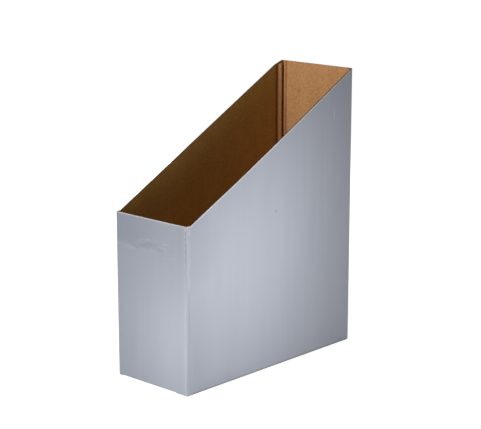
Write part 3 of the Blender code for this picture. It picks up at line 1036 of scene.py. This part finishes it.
# %% The folds into the dust flaps, which roll under the wall and up to the flap
ROLL = ((0.0025, 0.0002), (0.0030, 0.0007), (0.0033, 0.0012), (RECESS, WALL_FOOT - FOOT))    # inward, and up
MITRE = 2.5              # the front's roll is cut away at its hinge end, to clear the folded right side
front_foot = Vector((0, FRONT, FOOT))
back_foot = Vector((0, BACK, FOOT))
ROLLS = {
    "front_dust_fold": (front_foot, Y, X, lambda point: FLAP_X["front"][0],
                        lambda point: FLAP_X["front"][1] - MITRE * (point.y - FRONT),
                        ("front", "front_dust_flap")),
    "back_dust_fold": (back_foot, -Y, -X, lambda point: -FLAP_X["back"][1], lambda point: -FLAP_X["back"][0],
                       ("back", "back_dust_flap")),
}
for name, (corner, inward, along, lower, upper, panels) in ROLLS.items():
    path = [corner + Z * CREASE] + rounded(corner, -Z, inward, FOLD_RADIUS, ROUND_STEPS)
    path += [corner + inward * place + Z * rise for place, rise in ROLL]
    strip = draw_sheet(name, path, along, lower, upper)
    map_blank(strip, inward, Z, lambda point: FRONT_TOP)
    thicken(strip, LINER, (SILVER, KRAFT_EDGE, FLUTING))
    tie(strip, panels, (corner, -Z, inward))
    pieces[name] = strip
print("rolled folds", len(ROLLS))

# %% [markdown]
# ## Folds in the kraft liner
# Inside, the score pushes the kraft up into a small bead on each side of the corner. The strip is thick here,
# because the crushed fluting fills the corner between the liners.

# %% Draw the folds inside
BEAD_HEIGHT = 0.00040
BEAD_PLACE = 0.0021
BEAD_WIDTH = 0.0009
BEAD_STEPS = 14
HOLLOW = 0.00020
HOLLOW_WIDTH = 0.0006
FILLING = 0.00075        # the crushed fluting behind the kraft of a fold
FOLD_ROWS = 12


def bead_path(corner, arriving, leaving):
    """A line into a corner and out again, with a bead on each side and a hollow in the corner."""
    path = []
    for step in range(-BEAD_STEPS, BEAD_STEPS + 1):
        place = BEAD * step / BEAD_STEPS
        bead = BEAD_HEIGHT * math.exp(-((abs(place) - BEAD_PLACE) / BEAD_WIDTH) ** 2)
        fade = clamp((BEAD - abs(place)) / LEAD_FADE)
        hollow = HOLLOW * math.exp(-(place / HOLLOW_WIDTH) ** 2)
        way = arriving if place <= 0 else leaving
        point = corner + way * place + way.cross(Z) * (bead * fade)
        path.append(point + (arriving - leaving).normalized() * hollow)
    return path


kraft_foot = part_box("front_inner_liner")[0].z
left_inner_top = outline("left_side_inner_liner", -Y, Z)[1]
glue_inner_top = outline("glue_flap_inner_liner", -Y, Z)[1]
INSIDE_FOLDS = {
    "front_fold_kraft": ((Vector((RIGHT - BOARD, FRONT + BOARD, 0)), -Y, -X),
                         lambda point: min(on_line(right_top, point.y), TOP), ("right_side", "front")),
    "back_fold_kraft": ((Vector((RIGHT - BOARD, BACK - BOARD, 0)), X, -Y),
                        lambda point: on_line(right_top, point.y), ("back", "right_side")),
    "open_fold_kraft": ((Vector((LEFT + BOARD, FRONT + BOARD, 0)), -X, Y),
                        lambda point: on_line(left_inner_top, -point.y), ("left_side",)),
}        # the corner with its two directions, the upper edge, panels
for name, (turn, upper, panels) in INSIDE_FOLDS.items():
    corner, arriving, leaving = turn
    path = bead_path(corner, arriving, leaving)
    strip = draw_sheet(name, path, Z, lambda point: kraft_foot, upper, FOLD_ROWS)
    map_blank(strip, (arriving + leaving).normalized(), Z, upper)
    thicken(strip, FILLING, (KRAFT, KRAFT_EDGE), even=False)
    if len(panels) == 2:
        tie(strip, panels, turn)
    else:
        hang(strip, panels[0], "kraft_paper")
    pieces[name] = strip
print("folds inside", len(INSIDE_FOLDS))

# %% [markdown]
# ## The glue flap in the rear corner
# The back has a flap that is glued inside the left side. It lies flat along its free edge, swells into a
# round ridge where the board resists the fold, dives into the score at the corner, and comes up again as a
# bead on the back. That is too much shape for a flat ply, so one sheet of kraft is drawn along this wavy
# line, and the flutes under it are pressed to fit.

# %% The wavy line of the flap's kraft
FLAP_RISES = ((0.0105, -0.0012), (0.0073, -0.0011), (0.0064, -0.0008), (0.0052, 0.0003), (0.0042, 0.0010),
              (0.0033, 0.0013), (0.0026, 0.0010), (0.0018, 0.0004), (0.0009, 0.0), (0.0, 0.0))
REAR_RISES = ((0.0, 0.0), (0.0009, 0.0001), (0.0016, 0.0004), (0.0024, 0.0005), (0.0032, 0.0003),
              (0.0039, 0.0), (0.0044, -0.0002), (0.0049, 0.0), (REAR_BEAD, 0.0))     # place and height
SCORE_DEPTH, SCORE_WIDTH = 0.0010, 0.0009
FLAP_STEP = 0.00035


def eased(table, place):
    """A smooth value between the neighbours of a table of (place, value) pairs."""
    pairs = sorted(table)
    for (start, low), (end, high) in zip(pairs, pairs[1:]):
        if place <= end:
            share = clamp((place - start) / (end - start))
            return low + (high - low) * (1 - math.cos(math.pi * share)) / 2
    return pairs[-1][1]


def flap_path(corner, flap_width):
    """The wavy line of the kraft: along the flap to the corner, and out along the back."""
    path = []
    for place in evenly(-flap_width, REAR_BEAD, FLAP_STEP):
        way, table = (Y, FLAP_RISES) if place <= 0 else (X, REAR_RISES)
        rise = way.cross(Z) * eased(table, abs(place))
        score = (Y - X).normalized() * (SCORE_DEPTH * math.exp(-(place / SCORE_WIDTH) ** 2))
        path.append(corner + way * place + rise + score)
    return path


# %% Draw the flap's kraft
# painted shade along the grooves: at the flap's free edge, in the corner's score and beside the back's bead
FLAP_GROOVE_SHADES = ((-0.0100, 0.0030, 0.80), (0.0006, 0.0016, 0.65), (0.0046, 0.0011, 0.75))
FLAP_ROWS = 16
rear_corner = Vector((flap_face, BACK - BOARD, 0))
flap_width = rear_corner.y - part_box("glue_flap_inner_liner")[0].y
rear_top = outline("back_inner_liner", -X, Z)[1]


def flap_top(point):
    """The sloping edge on the flap's own part of the line, and the level edge on the back's."""
    on_the_back = point.x - rear_corner.x > rear_corner.y - point.y
    return on_line(rear_top, -point.x) if on_the_back else on_line(glue_inner_top, -point.y)


flap_kraft = draw_sheet("glue_flap_kraft", flap_path(rear_corner, flap_width), Z, lambda point: kraft_foot,
                        flap_top, FLAP_ROWS)
map_blank(flap_kraft, X + Y, Z, flap_top)
corner_mark = MAP_MIDDLE + rear_corner.x + rear_corner.y
flap_groove_shades = [(corner_mark + place, half_width, strength) for place, half_width, strength in FLAP_GROOVE_SHADES]
KRAFT_FLAP = make_kraft("kraft_liner_flap_groove_shade", groove_shades=flap_groove_shades)
thicken(flap_kraft, LINER, (KRAFT_FLAP, KRAFT_EDGE), even=False)
tie(flap_kraft, ("left_side", "back"), (rear_corner, Y, X))
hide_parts("glue_flap_inner_liner")
pieces["glue_flap_kraft"] = flap_kraft
print("flap kraft", len(flap_kraft.data.polygons), "faces")

# %% Press the flap's flutes
FLUTE_FIT = 0.95         # the pressed flutes fill this much of the room under the kraft
FLATTEST = 0.05          # and keep at least this much of their height
flap_floor = LEFT + BOARD + LINER
flute_room = flap_face - LINER - flap_floor
for vertex in pieces["glue_flap_flutes"].data.vertices:
    room = flute_room + eased(FLAP_RISES, rear_corner.y - vertex.co.y)
    vertex.co.x = flap_floor + (vertex.co.x - flap_floor) * max(FLATTEST, FLUTE_FIT * room / flute_room)
print("room for the flap's flutes", round(1000 * flute_room, 2), "mm")

# %% [markdown]
# ## Walls that aren't flat
# Board is springy. The right side bows out a little between its two folds, most at its free upper edge. A
# Lattice is a cage of points that bends what is inside it, and one cage bends all three plies of a panel
# alike. The front is flatter, but its liner is crinkled below the edge, where a hand grips it: each crinkle
# is a short ridge.

# %% Crinkle the front
CRINKLES = (
    (-0.040, 0.034, 4, 0.0100, 0.0019, 0.00030), (-0.027, 0.036, -6, 0.0080, 0.0018, 0.00034),
    (-0.019, 0.031, 18, 0.0050, 0.0016, 0.00042), (-0.012, 0.026, -24, 0.0045, 0.0015, 0.00046),
    (-0.007, 0.032, 14, 0.0045, 0.0015, -0.00042), (-0.003, 0.024, -10, 0.0050, 0.0015, 0.00044),
    (0.003, 0.029, 30, 0.0040, 0.0014, -0.00042), (0.008, 0.023, -18, 0.0050, 0.0015, 0.00040),
    (0.014, 0.028, 10, 0.0045, 0.0015, 0.00036), (0.020, 0.023, -12, 0.0045, 0.0015, 0.00030),
    (0.028, 0.026, 8, 0.0040, 0.0015, 0.00024), (-0.021, 0.024, 58, 0.0040, 0.0015, -0.00034),
)        # middle, depth below the edge, turn in degrees, half length, half width, height


def crinkle(place, below):
    """How far a crinkled sheet stands out at a place across it and below its edge."""
    height = 0.0
    for middle, depth, turn, length, width, rise in CRINKLES:
        cosine, sine = math.cos(math.radians(turn)), math.sin(math.radians(turn))
        across, down = place - middle, below - depth
        along_ridge, off_ridge = across * cosine + down * sine, down * cosine - across * sine
        height += rise * math.exp(-(along_ridge / length) ** 2 - (off_ridge / width) ** 2)
    return height


for vertex in pieces["front_silver"].data.vertices:
    vertex.co.y -= crinkle(vertex.co.x, FRONT_TOP - vertex.co.z)
print("crinkles", len(CRINKLES))

# %% Bow the right side out
BOW = 0.0018
BOW_SKEW = 0.65                          # under 1, so the right side bows out most nearer its low front
SLOPE_MIDDLE = (FRONT_TOP + TOP) / 2     # the bow is full from this height up


def bend(names, low, high, counts, moves):
    """Bends pieces with a cage from low to high. moves gives a cage point's shift from its place, 0 to 1."""
    put_down()
    bpy.ops.object.add(type="LATTICE", location=(Vector(low) + Vector(high)) / 2)
    cage = bpy.context.object
    cage.scale = Vector(high) - Vector(low)
    data = cage.data
    data.points_u, data.points_v, data.points_w = counts
    data.interpolation_type_u = data.interpolation_type_w = "KEY_LINEAR"
    data.interpolation_type_v = "KEY_CARDINAL"
    for point in data.points:
        share = [value + 0.5 for value in point.co]
        shift = Vector(moves(*share))
        parts = zip(point.co, shift, cage.scale)
        point.co_deform = Vector([value + move / size for value, move, size in parts])
    bpy.context.view_layer.update()
    for name in names:
        apply_modifier(pieces[name], "LATTICE", object=cage)
    bpy.data.objects.remove(cage)


bend(("right_silver", "right_flutes", "right_kraft"),
     (RIGHT - 2 * BOARD, FRONT + NEAR_CREASE, FLOOR), (RIGHT + BOARD, BACK - CREASE, SLOPE_MIDDLE), (2, 5, 2),
     lambda _, y, z: (BOW * math.sin(math.pi * y ** BOW_SKEW) * z, 0, 0))
bowed_to = max(vertex.co.x for vertex in pieces["right_silver"].data.vertices)
print("bowed", round(1000 * (bowed_to - RIGHT), 2), "mm")

# %% [markdown]
# ## Light, floor and camera
# The file stands in a plain white studio. The floor is white to the camera, and keeps the soft shadow under
# the file. The camera stands to the right of the front at the photograph's angle, far enough away for the
# long lens that such pictures are taken with.

# %% The floor
FLOOR_SIZE = 8.0
FLOOR_COLOUR = (0.38, 0.38, 0.385, 1)
NEAR_FLOOR, FAR_FLOOR = 0.35, 0.80       # the floor keeps the shadow near the file, and is plain far away
NEAR_GLOW = 0.88
FLOOR_ROUGHNESS = 0.9
WHITE = (1, 1, 1, 1)


def seen_directly(tree):
    """1 for what is seen, straight, through something or in a reflection, and 0 for light that bounces."""
    rays = add_node(tree, "ShaderNodeLightPath").outputs
    seen = math_node(tree, "MAXIMUM", rays["Is Camera Ray"], rays["Is Transmission Ray"])
    return math_node(tree, "MAXIMUM", seen, rays["Is Glossy Ray"])


put_down()
bpy.ops.mesh.primitive_plane_add(size=FLOOR_SIZE, location=(0, 0, FLOOR))
floor = bpy.context.object
floor.name = "studio_floor"
floor_material, tree, paint, place = new_material("studio_floor")
paint.inputs["Base Color"].default_value = FLOOR_COLOUR
paint.inputs["Roughness"].default_value = FLOOR_ROUGHNESS
paint.inputs["Specular IOR Level"].default_value = 0.0
white = add_node(tree, "ShaderNodeEmission")
white.inputs["Color"].default_value = WHITE
reach = add_node(tree, "ShaderNodeVectorMath", operation="LENGTH")
join(tree, place, reach.inputs[0])
far_away = remap(tree, reach.outputs["Value"], NEAR_FLOOR, FAR_FLOOR, smooth=True)
glow = remap(tree, far_away, 0.0, 1.0, NEAR_GLOW, 1.0)
join(tree, times(tree, seen_directly(tree), glow), white.inputs["Strength"])
both = add_node(tree, "ShaderNodeAddShader")
join(tree, paint.outputs[0], both.inputs[0])
join(tree, white.outputs[0], both.inputs[1])
join(tree, both.outputs[0], tree.nodes["Material Output"].inputs["Surface"])
floor.data.materials.append(floor_material)
print("floor", FLOOR_SIZE, "m")

# %% The white surroundings
AMBIENT = 0.02           # strength of the light that the surroundings give
world = bpy.data.worlds.new("studio")
bpy.context.scene.world = world
world.use_nodes = True
tree = world.node_tree
ambient = tree.nodes["Background"]
ambient.inputs["Color"].default_value = WHITE
join(tree, remap(tree, seen_directly(tree), 0, 1, AMBIENT, 1.0), ambient.inputs["Strength"])
print("surroundings", world.name)

# %% The lamps
LAMP_COLOUR = (1.0, 0.975, 0.955)
LAMP_AIM = Vector((0, 0, 0.12))
LAMPS = {
    "above_the_front": ((-0.04, -0.25, 0.75), 0.20, 2.65),
    "before_the_front": ((-0.06, -0.40, 0.60), 0.20, 1.42),
    "low_by_the_near_corner": ((0.20, -0.40, 0.07), 0.16, 0.115),
    "close_to_the_front": ((0.046, -0.22, 0.06), 0.08, 0.054),
    "beside_the_right": ((0.22, -0.055, 0.11), 0.12, 0.253),
    "over_the_right": ((0.18, -0.01, 0.23), 0.08, 0.042),
    "over_the_slope": ((0.30, 0.07, 0.297), 0.06, 0.047),
    "behind_the_left": ((-0.90, 0.60, 0.40), 0.60, 8.0),
}        # place, size, power


def add_lamp(name, place, size, power):
    put_down()
    bpy.ops.object.light_add(type="AREA", location=place)
    lamp = bpy.context.object
    lamp.name = lamp.data.name = name
    lamp.data.shape = "SQUARE"
    lamp.data.size = size
    lamp.data.energy = power
    lamp.data.color = LAMP_COLOUR
    lamp.rotation_euler = (LAMP_AIM - Vector(place)).to_track_quat("-Z", "Y").to_euler()
    lamp.visible_camera = False
    return lamp


lamps = [add_lamp(name, *setting) for name, setting in LAMPS.items()]
print("lamps", [lamp.name for lamp in lamps])

# %% The camera
IMAGE_WIDTH = 481
FOCAL_PIXELS = 1500
SENSOR = 36.0
AZIMUTH, ELEVATION = math.radians(42.99), math.radians(13.39)
DISTANCE = 1.5611
AIM = Vector((0.0023, 0.0021, 0.1548))
toward = Vector((math.sin(AZIMUTH) * math.cos(ELEVATION), -math.cos(AZIMUTH) * math.cos(ELEVATION),
                 math.sin(ELEVATION)))
put_down()
bpy.ops.object.camera_add(location=AIM + toward * DISTANCE)
camera = bpy.context.object
camera.rotation_euler = (-toward).to_track_quat("-Z", "Y").to_euler()
camera.data.sensor_width = SENSOR
camera.data.lens = FOCAL_PIXELS * SENSOR / IMAGE_WIDTH
scene = bpy.context.scene
scene.camera = camera
scene.view_settings.view_transform = "Standard"
print("camera lens", round(camera.data.lens, 1), "mm")
